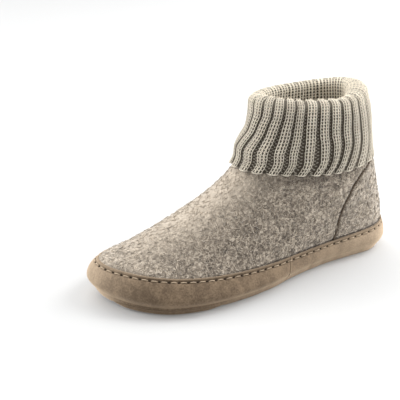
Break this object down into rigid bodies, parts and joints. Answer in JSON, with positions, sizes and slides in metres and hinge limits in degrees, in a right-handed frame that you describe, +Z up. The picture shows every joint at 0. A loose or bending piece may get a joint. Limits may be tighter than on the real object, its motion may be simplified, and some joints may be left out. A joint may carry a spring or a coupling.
{
  "type": "hut slipper",
  "caption": "Ankle-high felt house slipper for the left foot, with a turned-down ribbed knit cuff, a stitched suede band round the foot and a soft flat sole.",
  "frame": {"origin": "on the floor, under the middle of the slipper's bounding box", "axes": "+X from heel to toe, +Y to the outer side of the left foot, +Z up"},
  "size_m": [0.2663, 0.1058, 0.146],
  "materials": {
    "sole_leather": "matt brown sole leather with a soft rounded edge",
    "footbed_felt": "pressed wool felt",
    "wool_felt": "thick mottled greige wool felt with a short nap",
    "suede": "tan brown suede with a fine nap",
    "rib_knit": "ribbed wool knit in light greige with darker valleys"
  },
  "bodies": {
    "root": {"outsole": "sole_leather", "insole": "footbed_felt", "upper": "wool_felt", "sole_band": "suede", "cuff": "rib_knit"}
  },
  "joints": []
}
